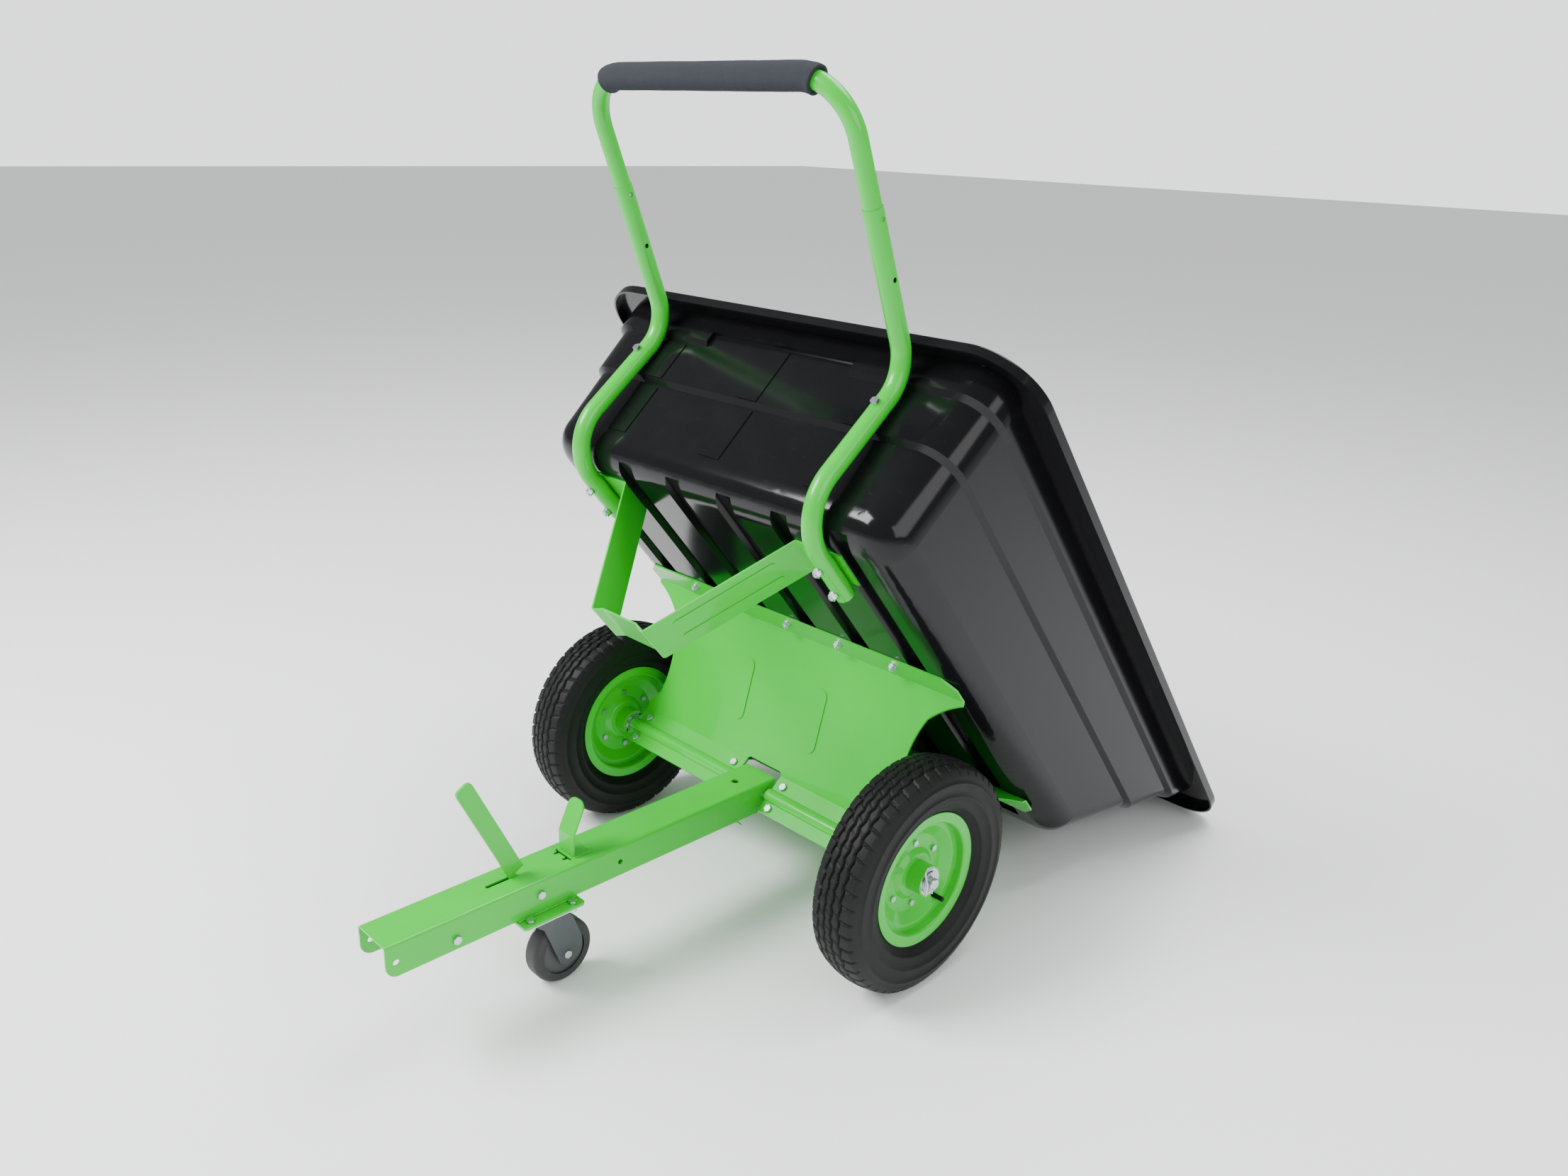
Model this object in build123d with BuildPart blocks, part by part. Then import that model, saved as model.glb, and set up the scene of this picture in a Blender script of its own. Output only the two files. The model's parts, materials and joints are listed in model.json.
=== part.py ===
from build123d import *
from math import cos, radians, sin, sqrt
import os

# A tow-behind garden cart: a steel drawbar and axle on two pneumatic wheels and a
# swivel caster, a moulded tub that tips rearwards about the axle, a push handle that
# telescopes, and a sprung lever on the drawbar that latches the tub down.
#
# Lengths are millimetres. X is across the cart (+X is its left side), -Y is the
# drawbar's nose, +Z is up, and the origin is on the floor, midway between the nose
# and the rearmost edge of the tub. The tub is modelled tipped, its rear lip on the floor.

# ---------------------------------------------------------------- driving sizes
tip_angle = 51.0          # how far the tub is tipped from level
tyre_radius = 203.0       # 4.80/4.00-8 pneumatic tyre
half_track = 391.0        # wheel centre plane from the middle of the cart
axle_radius = 10.0
axle_length = 884.0
running = 0.05            # radial clearance of parts that turn or slide
seat = 0.3                # gap between soft or formed faces that only rest

drawbar_nose = 762.0      # axle to the clevis end
drawbar_tail = 22.5       # axle to the rear end
drawbar_half = 40.0
drawbar_top = 25.0
drawbar_low = -30.5
steel = 3.0               # sheet thickness of the pressed frame parts

tub_floor = 258.0         # underside of the tub above the axle, tub level
tub_wall = 4.0
tub_half = 418.0          # floor outline: half width, front and rear
tub_front = -572.0
tub_rear = 325.0
side_draft = 0.06         # how much each wall leans out per millimetre of height
front_draft = 0.065
rear_slope = 1.0
ledge_1 = 424.0           # heights of the two ledges
ledge_2 = 518.0
ledge_rise = 8.0
side_ledge = 8.5          # how far each ledge steps out
front_ledge = 7.5
rear_ledge = 9.0
rim_top = 585.0
rim_half = 500.0
rim_front = -648.0
rim_skirt = 19.0          # depth of the turned-down rim edge
rim_corner_front = 110.0
rim_corner_rear = 90.0
corner = 64.0             # plan radius of the tub corners
bottom_round = 55.0       # round between the floor and the walls

tube_radius = 15.875      # lower handle tubes, 1 1/4 in outside diameter
tube_wall = 1.5
handle_half = 286.0       # handle tube from the middle of the cart
sleeve_slope = 17.5       # rise of the telescoping legs, in degrees

# ---------------------------------------------------------------- frames
skirt_low = rim_top - rim_skirt
tip_cos, tip_sin = cos(radians(tip_angle)), sin(radians(tip_angle))
rim_rear = (tyre_radius - seat + skirt_low * tip_cos) / tip_sin
rim_round = tub_wall      # round along the rim's upper edge
rear_reach = (rim_rear - rim_round) * tip_cos + (rim_top - rim_round) * tip_sin + rim_round
axle_y = (drawbar_nose - rear_reach) / 2

cart = Plane(origin=(0, axle_y, tyre_radius))
bed = Plane(cart.location * Rotation(-tip_angle, 0, 0))
across = Axis(cart.origin, (1, 0, 0))


def level(plane):
    """A plane given from the axle centre, for the parts that stay level."""
    return Plane(cart.location * plane.location)


def tipped(plane):
    """A plane given from the axle centre with the tub level, carried onto the tipped tub."""
    return Plane(bed.location * plane.location)


def side_view(x, y=0, z=0):
    """A plane across X: sketch right is +Y and sketch up is +Z."""
    return Plane(origin=(x, y, z), x_dir=(0, 1, 0), z_dir=(1, 0, 0))


def front_view(y):
    """A plane across Y: sketch right is +X and sketch up is +Z; it extrudes forwards."""
    return Plane(origin=(0, y, 0), x_dir=(1, 0, 0), z_dir=(0, -1, 0))


def facing(point, direction):
    return Plane(origin=point, z_dir=direction)


def on_level(points, direction=(0, 0, 1)):
    return [level(facing(point, direction)) for point in points]


def on_tipped(points, direction=(0, 0, 1)):
    return [tipped(facing(point, direction)) for point in points]


# ---------------------------------------------------------------- fasteners
m8_radius, m8_flats, m8_head, m8_nut = 4.0, 13.0, 5.3, 6.5
hole_play = 0.5           # radius added to a bolt for its clearance hole
thread_play = 0.05        # between a nut's bore and its bolt
washer_thick = 1.6
washer_radius = 8.5
bolt_end = 2.5            # bolt beyond its nut


def hex_bolt(grip):
    """An M8 hexagon bolt, head up, standing on the underside of its head."""
    with BuildPart() as bolt:
        with BuildSketch():
            RegularPolygon(m8_flats / 2, 6, major_radius=False)
        extrude(amount=m8_head)
        chamfer(bolt.faces().sort_by(Axis.Z)[-1].edges(), 0.5)
        Cylinder(m8_radius, grip, align=(Align.CENTER, Align.CENTER, Align.MAX))
        chamfer(bolt.faces().sort_by(Axis.Z)[0].edges(), 0.6)
    return bolt.part


def hex_nut(washer=washer_thick):
    """An M8 nut standing on its washer."""
    with BuildPart() as nut:
        Cylinder(washer_radius, washer, align=(Align.CENTER, Align.CENTER, Align.MIN))
        with BuildSketch(Plane.XY.offset(washer)):
            RegularPolygon(m8_flats / 2, 6, major_radius=False)
        extrude(amount=m8_nut)
        chamfer(nut.faces().sort_by(Axis.Z)[-1].edges(), 0.5)
        Cylinder(m8_radius + thread_play, 4 * m8_nut, mode=Mode.SUBTRACT)
    return nut.part


washered_nut = hex_nut()
nut_stack = washer_thick + m8_nut + bolt_end

# ---------------------------------------------------------------- axle
clip_x = axle_length / 2 - 6
clip_wire = 1.6
with BuildPart() as axle_rod:
    with Locations(level(Plane.YZ)):
        Cylinder(axle_radius, axle_length)
    chamfer(axle_rod.edges().filter_by(GeomType.CIRCLE), 1.5)
    with Locations(*on_level([(clip_x, 0, 0), (-clip_x, 0, 0)])):
        Cylinder(clip_wire + 0.3, 3 * axle_radius, mode=Mode.SUBTRACT)

# ---------------------------------------------------------------- saddle plates
# Two pressed plates meet back to back on the axle, each with a half-round groove,
# and spread upwards to flanges that carry the tub.
saddle_half = 392.0
clamp_half = 350.0
groove = axle_radius + running
clamp_top = 42.0
clamp_low = -35.0
clamp_bolt_z = 24.0
clamp_bolt_x = (67.0, 320.0)
front_run = 150.0         # axle to the front flange bend
rear_run = 185.0
flange_width = 59.0
flange_bolt_pitch = 128.0
flange_bolt_in = 36.0     # flange bolts from the bend
flange_cut = 24.0         # cut-off corner of each flange
notch_half = 46.0
notch_top = 48.0
notch_round = 8.0
bend = 5.0
web_waist = 308.0         # narrowest half width, beside the tyres
waist_height = 150.0
rib_x = 95.0
rib_low, rib_high = 85.0, 205.0
rib_width, rib_depth = 28.0, 2.0


def saddle_outline():
    """The plate's outline seen from the front."""
    with BuildSketch(tipped(front_view(0))) as outline:
        for way in (1, -1):
            with BuildLine():
                Polyline((0, tub_floor + 5), (0, clamp_low - 5), (way * clamp_half, clamp_low - 5),
                         (way * clamp_half, 18), (way * (clamp_half - 8), 56),
                         (way * (web_waist + 10), 78))
                ThreePointArc((way * (web_waist + 10), 78), (way * web_waist, waist_height),
                              (way * (saddle_half - 62), 214))
                ThreePointArc((way * (saddle_half - 62), 214), (way * (saddle_half - 28), 238),
                              (way * saddle_half, 250))
                Polyline((way * saddle_half, 250), (way * saddle_half, tub_floor + 5),
                         (0, tub_floor + 5))
            make_face()
        with Locations((0, notch_top - 60)):
            RectangleRounded(2 * notch_half, 120, notch_round, mode=Mode.SUBTRACT)
    return outline.sketch


outline = saddle_outline()


def saddle(way, run):
    """One plate: way is -1 for the front and 1 for the rear."""
    middle = (rib_low + rib_high) / 2
    web = Plane(origin=(0, way * (middle - clamp_top) * run / (tub_floor - clamp_top), middle),
                x_dir=(1, 0, 0), z_dir=(0, way * (tub_floor - clamp_top), -run))
    with BuildPart() as plate:
        with BuildSketch(tipped(side_view(-saddle_half))):
            with BuildLine():
                with BuildLine():
                    Line((0, clamp_low), (0, -groove))
                    ThreePointArc((0, -groove), (way * groove, 0), (0, groove))
                    FilletPolyline((0, groove), (0, clamp_top), (way * run, tub_floor),
                                   (way * (run + flange_width), tub_floor), radius=bend)
                offset(amount=steel, side=Side.RIGHT if way > 0 else Side.LEFT)
            make_face()
        extrude(amount=2 * saddle_half)
        extrude(outline, amount=400, both=True, mode=Mode.INTERSECT)
        with BuildSketch(tipped(web)):
            with Locations((rib_x, 0), (-rib_x, 0)):
                SlotOverall(rib_high - rib_low, rib_width, rotation=90)
        extrude(amount=steel + rib_depth)
        with BuildSketch(tipped(web)):
            with Locations((rib_x, 0), (-rib_x, 0)):
                SlotOverall(rib_high - rib_low - 2 * steel, rib_width - 2 * steel, rotation=90)
        extrude(amount=rib_depth, mode=Mode.SUBTRACT)
        with BuildSketch(tipped(Plane.XY.offset(tub_floor - 2 * steel))):
            for side in (1, -1):
                edge = way * (run + flange_width)
                with BuildLine():
                    Polyline((side * saddle_half, edge + way), (side * (saddle_half - flange_cut), edge + way),
                             (side * saddle_half, edge - way * flange_cut), (side * saddle_half, edge + way))
                make_face()
        extrude(amount=4 * steel, mode=Mode.SUBTRACT)
        with Locations(*on_tipped([(s * x, 0, t * clamp_bolt_z) for s in (1, -1) for x in clamp_bolt_x
                                   for t in (1, -1)], (0, 1, 0))):
            Cylinder(m8_radius + hole_play, 4 * steel, mode=Mode.SUBTRACT)
        with Locations(*on_tipped([(n * flange_bolt_pitch, way * (run + flange_bolt_in), tub_floor)
                                   for n in range(-2, 3)])):
            Cylinder(m8_radius + hole_play, 4 * steel, mode=Mode.SUBTRACT)
    return plate


front_saddle = saddle(-1, front_run)
rear_saddle = saddle(1, rear_run)

clamp_points = [(s * x, t * clamp_bolt_z) for s in (1, -1) for x in clamp_bolt_x for t in (1, -1)]
clamp_bolt = hex_bolt(2 * steel + nut_stack)
with BuildPart() as clamp_bolts:
    with Locations(*on_tipped([(x, -steel, z) for x, z in clamp_points], (0, -1, 0))):
        add(clamp_bolt)
with BuildPart() as clamp_nuts:
    with Locations(*on_tipped([(x, steel, z) for x, z in clamp_points], (0, 1, 0))):
        add(washered_nut)

flange_points = [(n * flange_bolt_pitch, y) for n in range(-2, 3)
                 for y in (-front_run - flange_bolt_in, rear_run + flange_bolt_in)]
flange_bolt = hex_bolt(tub_wall + steel + nut_stack)
with BuildPart() as flange_bolts:
    with Locations(*on_tipped([(x, y, tub_floor + tub_wall) for x, y in flange_points])):
        add(flange_bolt)
with BuildPart() as flange_nuts:
    with Locations(*on_tipped([(x, y, tub_floor - steel) for x, y in flange_points], (0, 0, -1))):
        add(washered_nut)

# ---------------------------------------------------------------- lower handle tubes
tube_floor_z = tub_floor - steel - tube_radius - 0.02
tube_front_y = -610.3
tube_start = -425.0
wall_bend, slope_bend = 88.0, 75.0
corner_z = 535.5
sleeve_run = 263.0        # upper corner to the open end, along the slope
tube_bolt_y = (-445.0, -504.0)
wall_bolt_z = 461.0
grip_hole = 4.0           # adjusting holes across the sleeves
first_hole = 16.0         # first hole from the open end
hole_step = 92.0
slope_cos, slope_sin = cos(radians(sleeve_slope)), sin(radians(sleeve_slope))
sleeve_dir = (0, -slope_cos, slope_sin)


def along_sleeve(distance, x=0.0):
    """A point on the telescoping axis, measured outwards from the sleeve's open end."""
    reach = sleeve_run + distance
    return (x, tube_front_y - reach * slope_cos, corner_z + reach * slope_sin)


def lower_tube(side):
    end = along_sleeve(0)
    with BuildPart() as tube:
        with BuildLine(tipped(side_view(side * handle_half))) as path:
            FilletPolyline((tube_start, tube_floor_z), (tube_front_y, tube_floor_z),
                           (tube_front_y, corner_z), (end[1], end[2]),
                           radius=[wall_bend, slope_bend])
        with BuildSketch(Plane(origin=path.line @ 0, z_dir=path.line % 0)):
            Circle(tube_radius)
            Circle(tube_radius - tube_wall, mode=Mode.SUBTRACT)
        sweep(path=path.line)
        with Locations(*on_tipped([(side * handle_half, y, tube_floor_z) for y in tube_bolt_y])):
            Cylinder(m8_radius + hole_play, 3 * tube_radius, mode=Mode.SUBTRACT)
        with Locations(*on_tipped([(side * handle_half, tube_front_y, wall_bolt_z)], (0, 1, 0))):
            Cylinder(m8_radius + hole_play, 3 * tube_radius, mode=Mode.SUBTRACT)
        with Locations(*on_tipped([along_sleeve(-first_hole - n * hole_step, side * handle_half)
                                   for n in (0, 1)], (1, 0, 0))):
            Cylinder(grip_hole, 3 * tube_radius, mode=Mode.SUBTRACT)
    return tube


left_lower_tube = lower_tube(1)
right_lower_tube = lower_tube(-1)

tube_bolt_points = [(s * handle_half, y) for s in (1, -1) for y in tube_bolt_y]
tube_bolt = hex_bolt(tub_wall + steel + 2 * tube_radius + nut_stack)
with BuildPart() as tube_bolts:
    with Locations(*on_tipped([(x, y, tub_floor + tub_wall) for x, y in tube_bolt_points])):
        add(tube_bolt)
with BuildPart() as tube_nuts:
    with Locations(*on_tipped([(x, y, tube_floor_z - tube_radius - 0.02) for x, y in tube_bolt_points],
                              (0, 0, -1))):
        add(washered_nut)

# ---------------------------------------------------------------- tub
channel_pitch = 127.5     # six lengthwise channels pressed up into the floor
channel_mouth = 42.0
channel_roof = 34.0
channel_depth = 12.0
channel_rear = 285.0
channel_columns = (-2.5, -1.5, -0.5, 0.5, 1.5, 2.5)
strip_width = 49.0        # raised strips on the front wall
strip_x = 245.0
strip_height = 1.6
panel_half = 170.0        # the middle of the front wall rises past the upper ledge
panel_top = 545.0


def front_at(z, steps):
    return tub_front - front_draft * (z - tub_floor) - steps * front_ledge


def inset(wall, slope):
    """How far a wall's inner face stands in from its outer face one wall thickness lower."""
    return wall * (sqrt(1 + slope**2) - slope)


def tub_form(wall, top):
    """The closed outer shape of the tub or, given its wall, the space inside it."""
    rings = [(tub_floor, 0), (ledge_1, 0), (ledge_1 + ledge_rise, 1), (ledge_2, 1),
             (ledge_2 + ledge_rise, 2), (top - wall, 2)]
    with BuildPart() as form:
        for z, steps in rings:
            half = tub_half + side_draft * (z - tub_floor) + steps * side_ledge - inset(wall, side_draft)
            front = front_at(z, steps) + inset(wall, front_draft)
            rear = tub_rear + rear_slope * (z - tub_floor) + steps * rear_ledge - inset(wall, rear_slope)
            with BuildSketch(tipped(Plane((0, (front + rear) / 2, z + wall)))):
                RectangleRounded(2 * half, rear - front, corner - wall)
        loft(ruled=True)
        fillet(form.edges().group_by(Axis(bed.origin, bed.z_dir))[0], bottom_round - wall)
    return form.part


def channel_bars(grow):
    """Bars of the floor channels' section, or grown by the wall for the ribs inside."""
    lean = (channel_mouth - channel_roof) / 2 / channel_depth
    widen = inset(grow, lean)
    low = -6.0
    with BuildPart() as bars:
        with BuildSketch(tipped(front_view(channel_rear + grow))):
            for n in channel_columns:
                middle = n * channel_pitch
                mouth = channel_mouth / 2 + widen - lean * (low - grow)
                roof = channel_roof / 2 + widen
                with BuildLine():
                    Polyline((middle - mouth, tub_floor + low), (middle + mouth, tub_floor + low),
                             (middle + roof, tub_floor + channel_depth + grow),
                             (middle - roof, tub_floor + channel_depth + grow),
                             (middle - mouth, tub_floor + low))
                make_face()
        extrude(amount=channel_rear + grow - tub_front + 40)
    return bars.part


def panel_block(wall):
    """The notch that carries the middle of the front wall past the upper ledge."""
    low, high = ledge_2 - 8 + wall, panel_top + wall
    shift = inset(wall, front_draft)
    with BuildPart() as block:
        with BuildSketch(tipped(side_view(-panel_half - wall))):
            with BuildLine():
                Polyline((front_at(low - wall, 1) + shift, low), (front_at(high - wall, 1) + shift, high),
                         (front_at(high - wall, 1) - 60, high + ledge_rise), (front_at(low, 1) - 60, low),
                         (front_at(low - wall, 1) + shift, low))
            make_face()
        extrude(amount=2 * (panel_half + wall))
    return block.part


def rim_outline(shrink):
    """The rim's plan outline, drawn in from its edge."""
    with BuildSketch() as rim:
        with Locations((0, (rim_front + rim_rear) / 2)):
            Rectangle(2 * (rim_half - shrink), rim_rear - rim_front - 2 * shrink)
        fillet(rim.vertices().group_by(Axis.Y)[0], rim_corner_front - shrink)
        fillet(rim.vertices().group_by(Axis.Y)[-1], rim_corner_rear - shrink)
    return rim.sketch


tub_outer = tub_form(0.0, rim_top)
tub_space = tub_form(tub_wall, rim_top + 2)
channel_cut = channel_bars(0.0)
channel_ribs = channel_bars(tub_wall)
panel_outer = panel_block(0.0)
panel_inner = panel_block(tub_wall)
rim_edge = tipped(Plane.XY.offset(skirt_low)).location * rim_outline(0.0)
rim_inside = tipped(Plane.XY.offset(skirt_low)).location * rim_outline(tub_wall)
with BuildPart() as rim_ring:
    extrude(rim_edge, amount=rim_skirt)
    fillet(rim_ring.faces().sort_by(Axis(bed.origin, bed.z_dir))[-1].edges(), rim_round)
    extrude(rim_inside, amount=rim_skirt - tub_wall, mode=Mode.SUBTRACT)
with BuildPart() as tub_cavity:
    add(tub_space)
    add(channel_ribs, mode=Mode.SUBTRACT)
    add(panel_inner, mode=Mode.SUBTRACT)
with BuildPart() as tub:
    add(tub_outer)
    add(channel_cut, mode=Mode.SUBTRACT)
    add(panel_outer, mode=Mode.SUBTRACT)
    for x, low, high, steps in ((0, tub_floor + bottom_round + 4, ledge_1 - 5, 0),
                                (strip_x, tub_floor + bottom_round + 4, ledge_1 - 5, 0),
                                (-strip_x, tub_floor + bottom_round + 4, ledge_1 - 5, 0),
                                (0, ledge_1 + ledge_rise + 2, panel_top - 6, 1),
                                (strip_x, ledge_1 + ledge_rise + 2, ledge_2 - 5, 1),
                                (-strip_x, ledge_1 + ledge_rise + 2, ledge_2 - 5, 1)):
        with BuildSketch(tipped(side_view(x - strip_width / 2))):
            with BuildLine():
                Polyline((front_at(low, steps) + 1, low), (front_at(low, steps) - strip_height, low),
                         (front_at(high, steps) - strip_height, high), (front_at(high, steps) + 1, high),
                         (front_at(low, steps) + 1, low))
            make_face()
        extrude(amount=strip_width)
    add(rim_ring.part)
    add(tub_cavity.part, mode=Mode.SUBTRACT)
    with Locations(*on_tipped([(x, y, tub_floor) for x, y in flange_points + tube_bolt_points])):
        Cylinder(m8_radius + hole_play, 4 * tub_wall, mode=Mode.SUBTRACT)
    with Locations(*on_tipped([(s * handle_half, front_at(wall_bolt_z, 1), wall_bolt_z) for s in (1, -1)],
                              (0, 1, 0))):
        Cylinder(m8_radius + hole_play, 4 * tub_wall, mode=Mode.SUBTRACT)

wall_inner = front_at(wall_bolt_z - tub_wall, 1) + inset(tub_wall, front_draft)
nut_tilt = washer_radius * front_draft + 0.02
wall_grip = wall_inner + nut_tilt - (tube_front_y - tube_radius)
wall_bolt = hex_bolt(wall_grip + nut_stack)
with BuildPart() as wall_bolts:
    with Locations(*on_tipped([(s * handle_half, tube_front_y - tube_radius - 0.02, wall_bolt_z)
                               for s in (1, -1)], (0, -1, 0))):
        add(wall_bolt)
with BuildPart() as wall_nuts:
    with Locations(*on_tipped([(s * handle_half, wall_inner + nut_tilt, wall_bolt_z) for s in (1, -1)],
                              (0, 1, 0))):
        add(washered_nut)

# ---------------------------------------------------------------- latch bracket
latch_front, latch_rear = -511.5, -437.5
latch_seat = seat         # under the bracket's flat, above the drawbar, tub level
latch_flat = 43.0
latch_knee_x, latch_knee_z = 64.0, 18.5
latch_foot_x, latch_end_x = 212.0, 310.0
latch_rib_half = 17.0     # pressed ribs from the strip's middle
latch_rib_width = 9.0
latch_mid = (latch_front + latch_rear) / 2
arm_rise = tub_floor - steel / 2 - latch_knee_z
arm_run = latch_foot_x - latch_knee_x
with BuildPart() as latch_bracket:
    with BuildSketch(tipped(front_view(latch_rear))):
        with BuildLine():
            with BuildLine():
                FilletPolyline((-latch_end_x, tub_floor), (-latch_foot_x, tub_floor),
                               (-latch_knee_x, latch_knee_z + steel / 2),
                               (-latch_flat, drawbar_top + latch_seat + steel),
                               (latch_flat, drawbar_top + latch_seat + steel),
                               (latch_knee_x, latch_knee_z + steel / 2),
                               (latch_foot_x, tub_floor), (latch_end_x, tub_floor), radius=bend)
            offset(amount=steel, side=Side.RIGHT)
        make_face()
    extrude(amount=latch_rear - latch_front)
    for side in (1, -1):
        arm = Plane(origin=(side * (latch_knee_x + latch_foot_x) / 2, latch_mid,
                            (latch_knee_z + steel / 2 + tub_floor) / 2),
                    x_dir=(0, 1, 0), z_dir=(side * arm_rise, 0, -arm_run))
        with BuildSketch(tipped(arm)):
            with Locations((latch_rib_half, 0), (-latch_rib_half, 0)):
                SlotOverall(0.66 * sqrt(arm_rise**2 + arm_run**2), latch_rib_width, rotation=90)
        extrude(amount=steel + 1.5)
    with Locations(*on_tipped([(x, y, tub_floor) for x, y in tube_bolt_points])):
        Cylinder(m8_radius + hole_play, 4 * steel, mode=Mode.SUBTRACT)

# ---------------------------------------------------------------- push handle
handle_radius = tube_radius - tube_wall - 0.075
handle_insert = 76.0      # handle tube inside the sleeve
handle_straight = 97.0    # sleeve end to the handle's bends
handle_bend = 85.0
grip_radius = 21.0
grip_reach = 232.0        # grip ends from the middle of the cart
button_radius = 3.85
button_play = 0.05
button_out = 2.6          # travel of the snap buttons
button_tip = 13.9         # button tip from the tube's middle, pressed in
bar_reach = handle_straight + handle_bend


legs = Plane(origin=along_sleeve(0), x_dir=(1, 0, 0), z_dir=(0, -slope_sin, -slope_cos))
button_spots = [(s * handle_half, s) for s in (1, -1)]
with BuildPart() as upper_handle:
    with BuildLine(tipped(legs)) as path:
        FilletPolyline((-handle_half, -handle_insert), (-handle_half, bar_reach), (handle_half, bar_reach),
                       (handle_half, -handle_insert), radius=handle_bend)
    with BuildSketch(Plane(origin=path.line @ 0, z_dir=path.line % 0)):
        Circle(handle_radius)
        Circle(handle_radius - tube_wall, mode=Mode.SUBTRACT)
    sweep(path=path.line)
    for x, side in button_spots:
        with Locations(*on_tipped([along_sleeve(-first_hole, x - side * handle_radius)], (1, 0, 0))):
            Cylinder(button_radius + button_play, handle_radius, mode=Mode.SUBTRACT)

with BuildPart() as foam_grip:
    with BuildLine(tipped(legs)) as path:
        FilletPolyline((-handle_half, handle_straight - 5), (-handle_half, bar_reach),
                       (handle_half, bar_reach), (handle_half, handle_straight - 5), radius=handle_bend)
    with BuildSketch(Plane(origin=path.line @ 0, z_dir=path.line % 0)):
        Circle(grip_radius)
        Circle(handle_radius + running, mode=Mode.SUBTRACT)
    sweep(path=path.line)
    with BuildSketch(tipped(legs)):
        with Locations((0, bar_reach)):
            Rectangle(2 * grip_reach, 200)
    extrude(amount=60, both=True, mode=Mode.INTERSECT)


def snap_button(side):
    """A domed pin with an inner flange, pushed in flush with the sleeve's bore."""
    shank, flange = 6.6, 5.6
    with BuildPart() as button:
        with Locations(*on_tipped([along_sleeve(-first_hole, side * (handle_half - button_tip))],
                                  (side, 0, 0))):
            Cylinder(button_radius, shank, align=(Align.CENTER, Align.CENTER, Align.MIN))
        fillet(button.faces().sort_by(Axis.X)[0 if side > 0 else -1].edges(), 1.2)
        with Locations(*on_tipped([along_sleeve(-first_hole, side * (handle_half - button_tip + shank))],
                                  (side, 0, 0))):
            Cylinder(flange, 1.2, align=(Align.CENTER, Align.CENTER, Align.MIN))
    return button


left_snap_button = snap_button(1)
right_snap_button = snap_button(-1)

with BuildPart() as button_springs:
    back, near = handle_radius - tube_wall - 0.3, button_tip - 6.6 - 1.2 - 0.4
    for side in (1, -1):
        place = Plane(origin=along_sleeve(-first_hole, side * handle_half), x_dir=(side, 0, 0),
                      z_dir=(0, -side * slope_sin, -side * slope_cos))
        with BuildSketch(tipped(place)):
            with BuildLine():
                with BuildLine():
                    FilletPolyline((-near, 7), (-near, -8), (0, -34), (back, -12),
                                   (back, 4), radius=3)
                offset(amount=0.8, side=Side.LEFT)
            make_face()
        extrude(amount=2.5, both=True)

# ---------------------------------------------------------------- drawbar
channel_half = drawbar_half - steel - 0.2
channel_low = -34.0
channel_leg = 10.0
channel_front, channel_back = -655.0, -22.0
clevis_y, clevis_z, clevis_radius = -745.0, -7.0, 5.25
clevis_round = 20.0
stop_bolt = (-646.0, -13.0)
pivot_bolt = (-494.0, 0.0)
side_hole = (-336.0, -5.5)
side_hole_radius = 4.5
top_hole_y, top_hole_radius = -42.0, 7.0
slot_front, slot_rear, slot_half = -569.0, -511.0, 3.6
hook_y = -419.0           # front face of the catch hook
hook_half = 20.0
hook_top = 117.0
hook_foot = -385.0
with BuildPart() as drawbar:
    with BuildSketch(level(front_view(drawbar_tail))) as section:
        with Locations((0, (drawbar_top + drawbar_low) / 2)):
            Rectangle(2 * drawbar_half, drawbar_top - drawbar_low)
        fillet(section.vertices().group_by(Axis.Y)[-1], bend)
        with Locations((0, (drawbar_top + drawbar_low) / 2 - steel)):
            Rectangle(2 * (drawbar_half - steel), drawbar_top - drawbar_low, mode=Mode.SUBTRACT)
    extrude(amount=drawbar_nose + drawbar_tail)
    fillet(drawbar.edges().filter_by(Axis.X).group_by(Axis.Y)[0].group_by(Axis.Z)[0], clevis_round)
    for (y, z), radius in (((clevis_y, clevis_z), clevis_radius), (stop_bolt, m8_radius + hole_play),
                           (pivot_bolt, m8_radius + hole_play), (side_hole, side_hole_radius),
                           ((0, 0), groove)):
        with Locations(*on_level([(0, y, z)], (1, 0, 0))):
            Cylinder(radius, 4 * drawbar_half, mode=Mode.SUBTRACT)
    with Locations(*on_level([(0, top_hole_y, drawbar_top)])):
        Cylinder(top_hole_radius, 4 * steel, mode=Mode.SUBTRACT)
    with BuildSketch(level(Plane.XY.offset(drawbar_top - 2 * steel))):
        with Locations((0, (slot_front + slot_rear) / 2)):
            SlotOverall(slot_rear - slot_front, 2 * slot_half, rotation=90)
        with Locations((0, hook_y - 2.8)):
            Rectangle(2 * hook_half + 4, 4.6)
        with Locations((0.6 * hook_half, hook_y - 8), (-0.6 * hook_half, hook_y - 8)):
            SlotOverall(11, 6, rotation=90)
    extrude(amount=4 * steel, mode=Mode.SUBTRACT)

with BuildPart() as inner_channel:
    with BuildSketch(level(front_view(channel_back))) as section:
        with Locations((0, (channel_leg + channel_low) / 2)):
            Rectangle(2 * channel_half, channel_leg - channel_low)
        fillet(section.vertices().group_by(Axis.Y)[0], bend)
        with Locations((0, (channel_leg + channel_low) / 2 + steel)):
            Rectangle(2 * (channel_half - steel), channel_leg - channel_low, mode=Mode.SUBTRACT)
    extrude(amount=channel_back - channel_front)
    for y, z, radius in ((*stop_bolt, m8_radius + hole_play), (*pivot_bolt, m8_radius + hole_play),
                         (*side_hole, side_hole_radius)):
        with Locations(*on_level([(0, y, z)], (1, 0, 0))):
            Cylinder(radius, 4 * drawbar_half, mode=Mode.SUBTRACT)

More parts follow.
